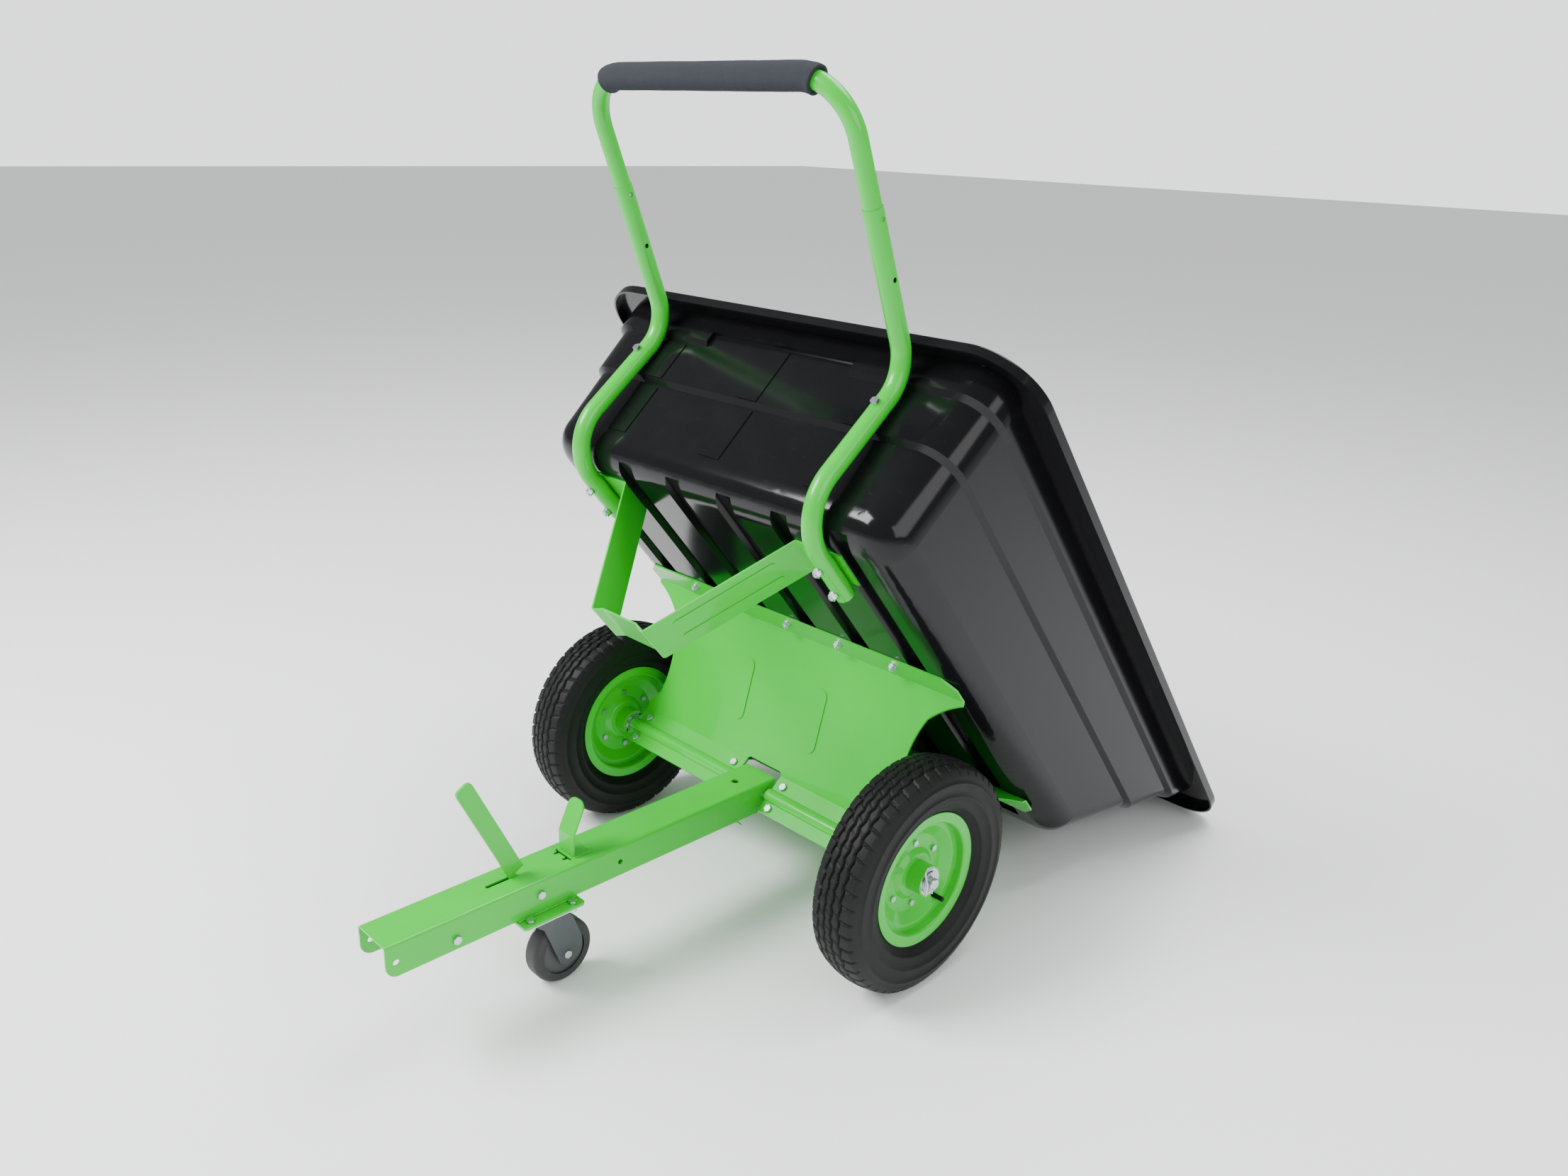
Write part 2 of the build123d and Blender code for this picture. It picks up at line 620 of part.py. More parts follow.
with BuildPart() as tail_bracket:
    with BuildSketch(level(side_view(-25))):
        with BuildLine():
            with BuildLine():
                FilletPolyline((-115, channel_low), (-64, channel_low), (-46, channel_low - 18), radius=bend)
            offset(amount=steel, side=Side.RIGHT)
        make_face()
    extrude(amount=50)
    with Locations(*on_level([(0, -96, channel_low)])):
        Cylinder(side_hole_radius, 4 * steel, mode=Mode.SUBTRACT)

with BuildPart() as catch_hook:
    with BuildSketch(level(side_view(-hook_half))):
        with BuildLine():
            with BuildLine():
                FilletPolyline((hook_foot, drawbar_top), (hook_y + steel, drawbar_top),
                               (hook_y + steel, 62), (hook_y + steel + 26, hook_top), radius=bend - 2)
            offset(amount=steel, side=Side.RIGHT)
        make_face()
    extrude(amount=2 * hook_half)
    fillet(catch_hook.edges().filter_by(lambda e: 2 < e.length < 4).group_by(Axis.Z)[-1], 0.8 * hook_half)

bolt_grip = 2 * drawbar_half
drawbar_bolt = hex_bolt(bolt_grip + nut_stack)
with BuildPart() as drawbar_bolts:
    with Locations(*on_level([(drawbar_half, y, z) for y, z in (stop_bolt, pivot_bolt)], (1, 0, 0))):
        add(drawbar_bolt)
with BuildPart() as drawbar_nuts:
    with Locations(*on_level([(-drawbar_half, y, z) for y, z in (stop_bolt, pivot_bolt)], (-1, 0, 0))):
        add(washered_nut)

# ---------------------------------------------------------------- latch lever
lever_thick = 5.0
tail_hole = (-490.0, -18.0)
with BuildPart() as latch_lever:
    with BuildSketch(level(side_view(-lever_thick / 2))) as blade:
        with BuildLine():
            Polyline((-612.5, 204.7), (-539, 51), (-527, 24), (-505, -6), (-497, -25), (-483, -25),
                     (-482, -3), (-488, 8), (-514, 22), (-515, 30.6), (-500, 38.7), (-586.4, 220.6),
                     (-612.5, 204.7))
        make_face()
        fillet(blade.vertices().group_by(Axis.Y)[-1] + blade.vertices().group_by(Axis.Y)[-2], 9)
        fillet(blade.vertices().group_by(Axis.Y)[0], 4)
    extrude(amount=lever_thick)
    with Locations(*on_level([(0, *pivot_bolt)], (1, 0, 0))):
        Cylinder(m8_radius + running, 4 * lever_thick, mode=Mode.SUBTRACT)
    with Locations(*on_level([(0, *tail_hole)], (1, 0, 0))):
        Cylinder(2.2, 4 * lever_thick, mode=Mode.SUBTRACT)

spring_wire = 0.7
spring_radius = 5.0
with BuildPart() as lever_spring:
    spring_from, spring_to = stop_bolt[0] + 12, tail_hole[0] - 22
    drop = (stop_bolt[1] + tail_hole[1]) / 2
    with Locations(*on_level([(0, (spring_from + spring_to) / 2, drop)], (0, 1, 0))):
        Cylinder(spring_radius, spring_to - spring_from)
        Cylinder(spring_radius - 2 * spring_wire, spring_to - spring_from, mode=Mode.SUBTRACT)
    with Locations(*on_level([(0, spring_from + 0.5, drop), (0, spring_to - 0.5, drop)], (0, 1, 0))):
        Cylinder(spring_radius - 0.5, 1)
    for line in ((level(side_view(0)), [(spring_from, drop), (spring_from - 4, drop),
                                        (stop_bolt[0] + 5.2, stop_bolt[1] + 5.2),
                                        (stop_bolt[0] - 5.2, stop_bolt[1] + 5.2),
                                        (stop_bolt[0] - 5.2, stop_bolt[1] - 5.2),
                                        (stop_bolt[0] + 3, stop_bolt[1] - 5.2)], 2),
                 (level(Plane.XY.offset(tail_hole[1])), [(0, spring_to), (0, tail_hole[0] - 19),
                                                        (-6, tail_hole[0] - 14), (-6, tail_hole[0]),
                                                        (5.5, tail_hole[0])], 1.5)):
        plane, points, turn = line
        with BuildLine(plane) as hooked:
            FilletPolyline(*points, radius=turn)
        with BuildSketch(Plane(origin=hooked.line @ 0, z_dir=hooked.line % 0)):
            Circle(spring_wire)
        sweep(path=hooked.line)

# ---------------------------------------------------------------- axle washers and clips
hub_half = 39.0
hub_gap = 0.3
end_washer = 2.0
spacer = half_track - hub_half - clamp_half - 2 * hub_gap
with BuildPart() as axle_washers:
    for side in (1, -1):
        for start, thick in ((clamp_half + hub_gap, spacer), (half_track + hub_half + hub_gap, end_washer)):
            with Locations(*on_level([(side * start, 0, 0)], (side, 0, 0))):
                Cylinder(19, thick, align=(Align.CENTER, Align.CENTER, Align.MIN))
                Cylinder(groove, thick, align=(Align.CENTER, Align.CENTER, Align.MIN), mode=Mode.SUBTRACT)

with BuildPart() as axle_clips:
    for side in (1, -1):
        with BuildLine(level(side_view(side * clip_x))) as wire:
            FilletPolyline((0, -19), (0, 34), (-23, 34), (-13.2, 0), (-16, -17), radius=7)
        with BuildSketch(Plane(origin=wire.line @ 0, z_dir=wire.line % 0)):
            Circle(clip_wire)
        sweep(path=wire.line)

# ---------------------------------------------------------------- caster
caster_y = -481.0
caster_plate_thick = 4.0
caster_half_x, caster_half_y = 62.0, 58.0
caster_bolt_x, caster_bolt_y = 50.0, 40.0
mount_top = channel_low
top_plate_top = mount_top - caster_plate_thick
race_top = top_plate_top - steel
yoke_top = race_top - 6.5
kingpin_radius = 6.0
kingpin_head = 11.0
fork_gap = 22.0           # inside half width of the fork
caster_radius = 57.0
caster_half_width = 18.0
trail = 43.0
caster_wheel_z = -tyre_radius + caster_radius
caster_points = [(s * caster_bolt_x, caster_y + t * caster_bolt_y) for s in (1, -1) for t in (1, -1)]
with BuildPart() as caster_mount:
    with BuildSketch(level(Plane.XY.offset(top_plate_top))):
        with Locations((0, caster_y)):
            RectangleRounded(2 * caster_half_x, 2 * caster_half_y, 6)
        with Locations(*caster_points):
            Circle(m8_radius + hole_play, mode=Mode.SUBTRACT)
    extrude(amount=caster_plate_thick)

with BuildPart() as caster_top_plate:
    with BuildSketch(level(Plane.XY.offset(race_top))):
        with Locations((0, caster_y)):
            RectangleRounded(2 * caster_half_x - 3, 2 * caster_half_y - 2, 6)
            Circle(kingpin_radius + 0.02, mode=Mode.SUBTRACT)
        with Locations(*caster_points):
            Circle(m8_radius + hole_play, mode=Mode.SUBTRACT)
    extrude(amount=steel)
    with BuildSketch(level(Plane.XY.offset(yoke_top + seat))):
        with Locations((0, caster_y)):
            Circle(26)
            Circle(18, mode=Mode.SUBTRACT)
    extrude(amount=race_top - yoke_top - seat)

caster_bolt = hex_bolt(caster_plate_thick + steel + nut_stack)
with BuildPart() as caster_bolts:
    with Locations(*on_level([(x, y, mount_top) for x, y in caster_points])):
        add(caster_bolt)
with BuildPart() as caster_nuts:
    with Locations(*on_level([(x, y, race_top) for x, y in caster_points], (0, 0, -1))):
        add(washered_nut)

with BuildPart() as kingpin:
    pin_low = yoke_top - steel - seat
    with Locations(*on_level([(0, caster_y, top_plate_top - 0.02)], (0, 0, -1))):
        Cylinder(kingpin_radius, top_plate_top - pin_low, align=(Align.CENTER, Align.CENTER, Align.MIN))
    with Locations(*on_level([(0, caster_y, pin_low)], (0, 0, -1))):
        Cylinder(kingpin_head, 4, align=(Align.CENTER, Align.CENTER, Align.MIN))
    fillet(kingpin.faces().sort_by(Axis.Z)[0].edges(), 2)

with BuildPart() as caster_fork:
    with BuildSketch(level(side_view(-fork_gap - steel))) as leg:
        with BuildLine():
            Polyline((caster_y - 24, yoke_top), (caster_y + 29, yoke_top), (caster_y + 58, -81),
                     (caster_y + 74, -124), (caster_y + 74, -146), (caster_y + 68, -159),
                     (caster_y + 45, -169), (caster_y + 30, -160), (caster_y + 2, -84),
                     (caster_y - 24, yoke_top - 14), (caster_y - 24, yoke_top))
        make_face()
        fillet(leg.vertices().group_by(Axis.Y)[0], 5)
    extrude(amount=2 * (fork_gap + steel))
    with BuildSketch(level(side_view(-fork_gap))):
        with Locations((caster_y, yoke_top - steel - 100)):
            Rectangle(400, 200)
    extrude(amount=2 * fork_gap, mode=Mode.SUBTRACT)
    with BuildSketch(level(Plane.XY.offset(yoke_top - steel))):
        with Locations((0, caster_y)):
            Circle(30)
    extrude(amount=steel)
    with Locations(*on_level([(0, caster_y, yoke_top)])):
        Cylinder(kingpin_radius + running, 4 * steel, mode=Mode.SUBTRACT)
    with Locations(*on_level([(0, caster_y + trail, caster_wheel_z)], (1, 0, 0))):
        Cylinder(m8_radius + running, 4 * fork_gap, mode=Mode.SUBTRACT)

fork_bolt_part = hex_bolt(2 * (fork_gap + steel) + nut_stack)
with BuildPart() as fork_bolt:
    with Locations(*on_level([(fork_gap + steel, caster_y + trail, caster_wheel_z)], (1, 0, 0))):
        add(fork_bolt_part)
with BuildPart() as fork_nut:
    with Locations(*on_level([(-fork_gap - steel, caster_y + trail, caster_wheel_z)], (-1, 0, 0))):
        add(washered_nut)

caster_core_radius = 40.0
caster_spin = Axis(level(Plane((0, caster_y + trail, caster_wheel_z))).origin, (1, 0, 0))
with BuildPart() as caster_core:
    with Locations(*on_level([(0, caster_y + trail, caster_wheel_z)], (1, 0, 0))):
        Cylinder(caster_core_radius, 2 * caster_half_width - 8)
        Cylinder(12, 2 * fork_gap - 0.8)
        Cylinder(m8_radius + running, 4 * fork_gap, mode=Mode.SUBTRACT)
with BuildPart() as caster_tyre:
    with Locations(*on_level([(0, caster_y + trail, caster_wheel_z)], (1, 0, 0))):
        Cylinder(caster_radius, 2 * caster_half_width)
        fillet(caster_tyre.edges(), 9)
        Cylinder(caster_core_radius + 0.02, 2 * caster_half_width, mode=Mode.SUBTRACT)

# ---------------------------------------------------------------- wheels
bearing_bore = groove
bearing_radius = 23.5
bearing_width = 14.0
ball_radius = 3.2
ball_count = 9
ball_ring = (bearing_bore + bearing_radius) / 2
hub_radius = 26.5
bead_radius = 101.0
flange_radius = 118.0
flange_half = 31.75
rim_sheet = 2.0
band_radius = 80.0        # the valve's place on the sloping band
valve_angle = -50.0


def wheel_plane(side):
    """Sketch right is outwards from the axle, sketch up is outboard along it."""
    return level(Plane(origin=(side * half_track, 0, 0), x_dir=(0, 0, 1), z_dir=(0, side, 0)))


def turned(side, section):
    """A body revolved about the axle from a sketch of the wheel's section."""
    with BuildPart() as body:
        add(wheel_plane(side).location * section)
        revolve(axis=across)
    return body


shoulder_radius, shoulder_half = 196.5, 38.0
bead_half = flange_half - rim_sheet - seat
bead_cut = 3.0
crown_radius = ((tyre_radius - shoulder_radius)**2 + shoulder_half**2) / 2 / (tyre_radius - shoulder_radius)


def crown_at(offset):
    """Tread radius at a distance from the tyre's middle."""
    return tyre_radius - crown_radius + sqrt(crown_radius**2 - offset**2)


with BuildSketch() as tyre_section:
    with BuildLine():
        Spline((119.5, bead_half), (130, 41.5), (152, 49.5), (178, 47.5), (shoulder_radius, shoulder_half),
               tangents=[(0.2, 1), (1, -1.4)])
        ThreePointArc((shoulder_radius, shoulder_half), (crown_at(shoulder_half / 2), shoulder_half / 2),
                      (tyre_radius, 0))
        Line((tyre_radius, 0), (194, 0))
        Spline((194, 0), (188, 26), (172, 40), (152, 43), (128, 30), (113, 20))
        Polyline((113, 20), (bead_radius + seat, 17), (bead_radius + seat, bead_half - bead_cut),
                 (bead_radius + seat + bead_cut, bead_half), (119.5, bead_half))
    make_face()
    mirror(about=Plane.XZ)
    with Locations(*[(tyre_radius, 15 * n) for n in (-1.5, -0.5, 0.5, 1.5)]):
        Rectangle(11, 4, mode=Mode.SUBTRACT)

rim_sections = {}
for half in (1, -1):
    with BuildSketch() as rim_section:
        with BuildLine():
            with BuildLine():
                FilletPolyline((hub_radius + 0.02, half * 8), (37, half * 8), (45, half * 0.05),
                               (70, half * 0.05), (89, half * 13), (bead_radius, half * 13.5),
                               (bead_radius, half * (flange_half - rim_sheet)),
                               (flange_radius, half * (flange_half - rim_sheet)), radius=2.5)
            offset(amount=rim_sheet, side=Side.LEFT if half > 0 else Side.RIGHT)
        make_face()
    rim_sections[half] = rim_section.sketch

with BuildSketch() as hub_section:
    with Locations(((hub_radius + 21) / 2, 0)):
        Rectangle(hub_radius - 21, 2 * hub_half)
    for end in (1, -1):
        with Locations((bearing_radius / 2, end * (hub_half - bearing_width / 2))):
            Rectangle(bearing_radius + 0.04, bearing_width, mode=Mode.SUBTRACT)

with BuildSketch() as bearing_section:
    for end in (1, -1):
        middle = end * (hub_half - bearing_width / 2)
        for low, high in ((bearing_bore, 14), (19.5, bearing_radius)):
            with Locations(((low + high) / 2, middle)):
                Rectangle(high - low, bearing_width - 0.4)
        with Locations((ball_ring, middle)):
            Circle(ball_radius + running, mode=Mode.SUBTRACT)

with BuildSketch() as seal_section:
    for end in (1, -1):
        with Locations((ball_ring, end * (hub_half - 1.2))):
            Rectangle(5.4, 1.2)


def wheel_balls(side):
    with BuildPart() as balls:
        for end in (1, -1):
            x = side * half_track + end * (hub_half - bearing_width / 2)
            with Locations(level(facing((x, 0, 0), (1, 0, 0)))):
                with PolarLocations(ball_ring, ball_count):
                    Sphere(ball_radius)
    return balls


def valve(side):
    """A rubber stem through the outboard rim half's sloping band."""
    y, z = band_radius * cos(radians(valve_angle)), band_radius * sin(radians(valve_angle))
    with BuildPart() as part:
        with Locations(*on_level([(side * (half_track + 2.5), y, z)], (side, 0, 0))):
            Cylinder(valve_radius, 28, align=(Align.CENTER, Align.CENTER, Align.MIN))
        fillet(part.edges().group_by(Axis.X)[-1 if side > 0 else 0], 1.2)
    return part


def rim_half(side, half):
    y, z = band_radius * cos(radians(valve_angle)), band_radius * sin(radians(valve_angle))
    shell = turned(side, rim_sections[half])
    with BuildPart() as pressed:
        add(shell.part)
        if half > 0:
            with Locations(*on_level([(side * (half_track + 10), y, z)], (1, 0, 0))):
                Cylinder(valve_radius + seat, 30, mode=Mode.SUBTRACT)
        with Locations(*on_level([(side * half_track, 57 * cos(radians(a)), 57 * sin(radians(a)))
                                  for a in range(30, 360, 60)], (1, 0, 0))):
            Cylinder(m6_radius + hole_play, 12, mode=Mode.SUBTRACT)
    return pressed


valve_radius = 4.2
m6_radius, m6_flats, m6_head, m6_nut = 3.0, 10.0, 4.0, 5.0


def rim_bolts(side):
    """Six small bolts and nuts that draw the two rim halves together."""
    with BuildPart() as ring:
        for a in range(30, 360, 60):
            y, z = 57 * cos(radians(a)), 57 * sin(radians(a))
            for start, way, height in ((rim_sheet + 0.05, 1, m6_head), (-rim_sheet - 0.05, -1, m6_nut)):
                with BuildSketch(level(facing((side * (half_track + start), y, z), (way * side, 0, 0)))):
                    RegularPolygon(m6_flats / 2, 6, major_radius=False)
                extrude(amount=height)
            with Locations(*on_level([(side * half_track, y, z)], (1, 0, 0))):
                Cylinder(m6_radius, 2 * rim_sheet + 1)
    return ring


wheels = {}
for name, side in (("left", 1), ("right", -1)):
    wheels[name + "_tyre"] = turned(side, tyre_section.sketch)
    wheels[name + "_outer_rim"] = rim_half(side, 1)
    wheels[name + "_inner_rim"] = rim_half(side, -1)
    wheels[name + "_rim_bolts"] = rim_bolts(side)
    wheels[name + "_hub"] = turned(side, hub_section.sketch)
    wheels[name + "_bearing_rings"] = turned(side, bearing_section.sketch)
    wheels[name + "_bearing_balls"] = wheel_balls(side)
    wheels[name + "_bearing_seals"] = turned(side, seal_section.sketch)
    wheels[name + "_valve"] = valve(side)

# ---------------------------------------------------------------- files
parts = {
    "drawbar": drawbar, "inner_channel": inner_channel, "tail_bracket": tail_bracket,
    "catch_hook": catch_hook, "drawbar_bolts": drawbar_bolts, "drawbar_nuts": drawbar_nuts,
    "latch_lever": latch_lever, "lever_spring": lever_spring, "axle_rod": axle_rod,
    "axle_washers": axle_washers, "axle_clips": axle_clips, "caster_mount": caster_mount,
    "caster_top_plate": caster_top_plate, "caster_bolts": caster_bolts, "caster_nuts": caster_nuts,
    "kingpin": kingpin, "caster_fork": caster_fork, "fork_bolt": fork_bolt, "fork_nut": fork_nut,
    "caster_core": caster_core, "caster_tyre": caster_tyre, "tub": tub, "front_saddle": front_saddle,
    "rear_saddle": rear_saddle, "clamp_bolts": clamp_bolts, "clamp_nuts": clamp_nuts,
    "flange_bolts": flange_bolts, "flange_nuts": flange_nuts, "left_lower_tube": left_lower_tube,
    "right_lower_tube": right_lower_tube, "tube_bolts": tube_bolts, "tube_nuts": tube_nuts,
    "wall_bolts": wall_bolts, "wall_nuts": wall_nuts, "latch_bracket": latch_bracket,
    "upper_handle": upper_handle, "foam_grip": foam_grip, "left_snap_button": left_snap_button,
    "right_snap_button": right_snap_button, "button_springs": button_springs, **wheels,
}
os.makedirs("parts", exist_ok=True)
for name, piece in parts.items():
    piece.part.label = name
    export_step(piece.part, f"parts/{name}.step")
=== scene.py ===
import bmesh
import bpy
import json
import math
import random
from mathutils import Matrix, Vector, noise


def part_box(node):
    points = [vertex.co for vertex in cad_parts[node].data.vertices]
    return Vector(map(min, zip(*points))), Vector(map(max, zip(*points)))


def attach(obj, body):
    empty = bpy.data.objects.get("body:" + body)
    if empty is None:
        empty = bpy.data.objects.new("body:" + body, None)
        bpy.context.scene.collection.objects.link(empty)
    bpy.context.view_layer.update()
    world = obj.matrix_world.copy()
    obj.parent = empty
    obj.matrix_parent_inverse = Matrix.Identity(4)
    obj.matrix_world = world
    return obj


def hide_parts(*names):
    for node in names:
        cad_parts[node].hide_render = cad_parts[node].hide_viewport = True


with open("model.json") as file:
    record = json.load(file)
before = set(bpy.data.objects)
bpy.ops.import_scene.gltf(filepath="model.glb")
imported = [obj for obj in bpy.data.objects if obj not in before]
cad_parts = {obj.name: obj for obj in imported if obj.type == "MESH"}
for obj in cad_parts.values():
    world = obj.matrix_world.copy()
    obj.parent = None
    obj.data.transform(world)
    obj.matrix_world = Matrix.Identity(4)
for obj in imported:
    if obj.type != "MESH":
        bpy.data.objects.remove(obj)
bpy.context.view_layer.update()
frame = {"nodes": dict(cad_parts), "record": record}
nodes = frame["nodes"]
print("frame loaded")

axleLow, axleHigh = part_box("axle_rod")
axle = (axleLow + axleHigh) / 2  # the axle's middle, which most places are measured from


def fromAxle(x, y, z):
    return axle + Vector((x, y, z))


# ---- effects shared by the finishes

def newGroup(name, inputs, outputs):
    group = bpy.data.node_groups.new(name, "ShaderNodeTree")
    for label, kind, value in inputs:
        socket = group.interface.new_socket(label, in_out="INPUT", socket_type=kind)
        socket.default_value = value
    for label, kind in outputs:
        group.interface.new_socket(label, in_out="OUTPUT", socket_type=kind)
    return group, group.nodes.new("NodeGroupInput"), group.nodes.new("NodeGroupOutput")


def addNode(tree, kind, settings=None, **values):
    node = tree.nodes.new(kind)
    for key, value in (settings or {}).items():
        setattr(node, key, value)
    for key, value in values.items():
        node.inputs[key.replace("_", " ")].default_value = value
    return node


def wire(tree, fromSocket, toSocket):
    tree.links.new(fromSocket, toSocket)


def rangeOf(tree, source, low, high, toLow=0.0, toHigh=1.0):
    node = addNode(tree, "ShaderNodeMapRange", {"interpolation_type": "SMOOTHSTEP"})
    for index, value in ((1, low), (2, high), (3, toLow), (4, toHigh)):
        node.inputs[index].default_value = value
    wire(tree, source, node.inputs[0])
    return node.outputs[0]


def mathOf(tree, operation, a, b):
    node = addNode(tree, "ShaderNodeMath", {"operation": operation})
    for index, value in enumerate((a, b)):
        if isinstance(value, (int, float)):
            node.inputs[index].default_value = value
        else:
            wire(tree, value, node.inputs[index])
    return node.outputs[0]


def mixOf(tree, factor, a, b):
    node = addNode(tree, "ShaderNodeMix", {"data_type": "RGBA"})
    for socket, value in ((node.inputs[0], factor), (node.inputs[6], a), (node.inputs[7], b)):
        if isinstance(value, (int, float)):
            socket.default_value = value
        elif isinstance(value, tuple):
            socket.default_value = (*value, 1.0)
        else:
            wire(tree, value, socket)
    return node.outputs[2]


def buildSurfaceWear():
    # cloudy tone, fine grain, rare scuffs and settled dust
    group, given, result = newGroup(
        "surfaceWear",
        [("Color", "NodeSocketColor", (0.5, 0.5, 0.5, 1)),
         ("Dust Color", "NodeSocketColor", (0.4, 0.38, 0.35, 1)),
         ("Roughness", "NodeSocketFloat", 0.4), ("Tone", "NodeSocketFloat", 0.1),
         ("Cloud Scale", "NodeSocketFloat", 6.0), ("Grain Scale", "NodeSocketFloat", 600.0),
         ("Scuffs", "NodeSocketFloat", 0.1), ("Dust", "NodeSocketFloat", 0.1),
         ("Grain", "NodeSocketFloat", 0.3)],
        [("Color", "NodeSocketColor"), ("Roughness", "NodeSocketFloat"), ("Height", "NodeSocketFloat")])
    place = addNode(group, "ShaderNodeTexCoord")
    cloud = addNode(group, "ShaderNodeTexNoise", Detail=4.0, Roughness=0.55)
    wire(group, place.outputs["Object"], cloud.inputs["Vector"])
    wire(group, given.outputs["Cloud Scale"], cloud.inputs["Scale"])
    grain = addNode(group, "ShaderNodeTexNoise", Detail=2.0, Roughness=0.6)
    wire(group, place.outputs["Object"], grain.inputs["Vector"])
    wire(group, given.outputs["Grain Scale"], grain.inputs["Scale"])
    stretch = addNode(group, "ShaderNodeMapping", Scale=(9.0, 60.0, 31.0), Rotation=(0.5, 0.8, 0.3))
    wire(group, place.outputs["Object"], stretch.inputs["Vector"])
    scuff = addNode(group, "ShaderNodeTexNoise", Scale=3.0, Detail=5.0, Roughness=0.7)
    wire(group, stretch.outputs["Vector"], scuff.inputs["Vector"])
    scuffMask = rangeOf(group, scuff.outputs[0], 0.62, 0.7)
    scuffMask = mathOf(group, "MULTIPLY", scuffMask, given.outputs["Scuffs"])
    dustNoise = addNode(group, "ShaderNodeTexNoise", Scale=17.0, Detail=6.0, Roughness=0.65)
    wire(group, place.outputs["Object"], dustNoise.inputs["Vector"])
    facing = addNode(group, "ShaderNodeNewGeometry")
    split = addNode(group, "ShaderNodeSeparateXYZ")
    wire(group, facing.outputs["Normal"], split.inputs[0])
    upward = rangeOf(group, split.outputs[2], 0.1, 1.0, 0.35, 1.0)
    dustMask = mathOf(group, "MULTIPLY", rangeOf(group, dustNoise.outputs[0], 0.42, 0.75), upward)
    dustMask = mathOf(group, "MULTIPLY", dustMask, given.outputs["Dust"])
    shade = addNode(group, "ShaderNodeHueSaturation")
    wire(group, given.outputs["Color"], shade.inputs["Color"])
    tone = mathOf(group, "MULTIPLY", mathOf(group, "SUBTRACT", cloud.outputs[0], 0.5), given.outputs["Tone"])
    wire(group, mathOf(group, "ADD", mathOf(group, "MULTIPLY", tone, 2.0), 1.0), shade.inputs["Value"])
    scuffTint = mathOf(group, "MULTIPLY", scuffMask, 0.5)
    worn = mixOf(group, scuffTint, shade.outputs[0], given.outputs["Dust Color"])
    dusted = mixOf(group, dustMask, worn, given.outputs["Dust Color"])
    wire(group, dusted, result.inputs["Color"])
    rough = mathOf(group, "ADD", given.outputs["Roughness"], tone)
    rough = mathOf(group, "ADD", rough, mathOf(group, "MULTIPLY", scuffMask, 0.35))
    rough = mathOf(group, "ADD", rough, mathOf(group, "MULTIPLY", dustMask, 0.5))
    wire(group, rough, result.inputs["Roughness"])
    height = mathOf(group, "MULTIPLY", grain.outputs[0], given.outputs["Grain"])
    height = mathOf(group, "ADD", height, mathOf(group, "MULTIPLY", cloud.outputs[0], 0.5))
    wire(group, mathOf(group, "SUBTRACT", height, mathOf(group, "MULTIPLY", scuffMask, 0.6)),
         result.inputs["Height"])
    return group


surfaceWear = buildSurfaceWear()


wearInputs = {"tone": "Tone", "cloudScale": "Cloud Scale", "grainScale": "Grain Scale", "scuffs": "Scuffs",
              "dust": "Dust", "grain": "Grain", "dustColor": "Dust Color"}


def makeFinish(name, color, roughness, metallic=0.0, coat=0.0, coatRoughness=0.1, bump=0.1,
               bumpDistance=0.0006, specular=0.5, **wear):
    material = bpy.data.materials.new(name)
    material.use_nodes = True
    tree = material.node_tree
    shader = tree.nodes["Principled BSDF"]
    shader.inputs["Metallic"].default_value = metallic
    shader.inputs["Coat Weight"].default_value = coat
    shader.inputs["Coat Roughness"].default_value = coatRoughness
    shader.inputs["Specular IOR Level"].default_value = specular
    effect = addNode(tree, "ShaderNodeGroup", {"node_tree": surfaceWear})
    effect.inputs["Color"].default_value = (*color, 1)
    effect.inputs["Roughness"].default_value = roughness
    for key, value in wear.items():
        effect.inputs[wearInputs[key]].default_value = (*value, 1) if isinstance(value, tuple) else value
    relief = addNode(tree, "ShaderNodeBump", Strength=bump, Distance=bumpDistance)
    wire(tree, effect.outputs["Color"], shader.inputs["Base Color"])
    wire(tree, effect.outputs["Roughness"], shader.inputs["Roughness"])
    wire(tree, effect.outputs["Height"], relief.inputs["Height"])
    wire(tree, relief.outputs["Normal"], shader.inputs["Normal"])
    return material


